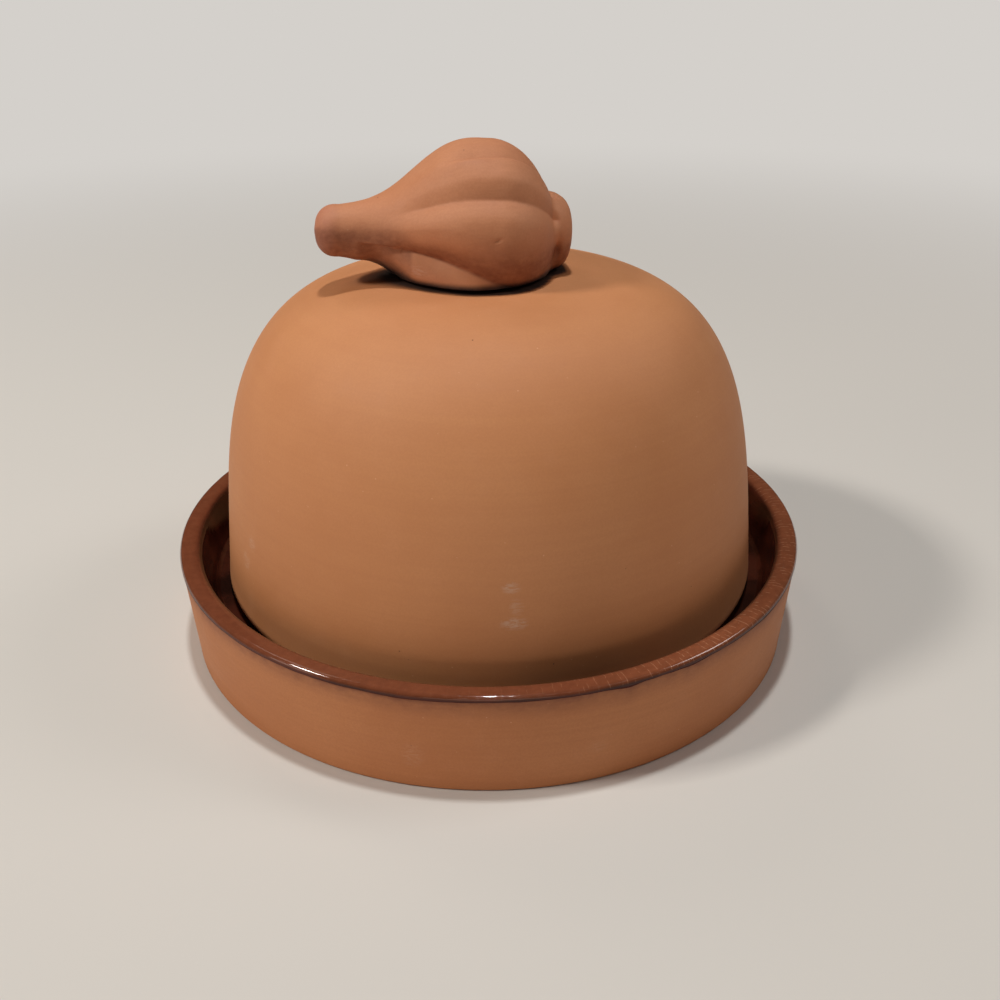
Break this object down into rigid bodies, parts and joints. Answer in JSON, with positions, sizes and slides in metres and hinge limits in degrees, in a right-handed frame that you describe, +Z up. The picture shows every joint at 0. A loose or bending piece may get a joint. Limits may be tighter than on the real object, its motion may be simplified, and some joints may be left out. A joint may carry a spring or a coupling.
{
  "type": "garlic roaster",
  "caption": "Terracotta garlic roaster: a shallow dish glazed brown inside, and a loose domed clay lid whose knob is a garlic bulb lying on its side.",
  "frame": {"origin": "middle of the dish's flat underside, on the surface that the roaster stands on", "axes": "+Z up, the knob's neck points along -X, and -Y is the side that faces the viewer"},
  "size_m": [0.15, 0.15, 0.1138],
  "materials": {
    "dish_clay": "unglazed red earthenware, matte",
    "brown_glaze": "glossy dark brown glaze, finely crazed on the rim",
    "dome_clay": "unglazed red earthenware, matte, with faint turning marks",
    "clay_slip": "dried slip, matte",
    "knob_clay": "unglazed red earthenware, matte, sponged smooth"
  },
  "bodies": {
    "dish": {"dish_body": "dish_clay", "dish_glaze": "brown_glaze"},
    "lid": {"dome_lid": "dome_clay", "knob_luting": "clay_slip", "garlic_knob": "knob_clay"}
  },
  "joints": [
    {"name": "lid_lift", "type": "slide", "parent": "dish", "child": "lid", "axis": [0, 0, 1], "range_m": [0, 0.1]}
  ]
}
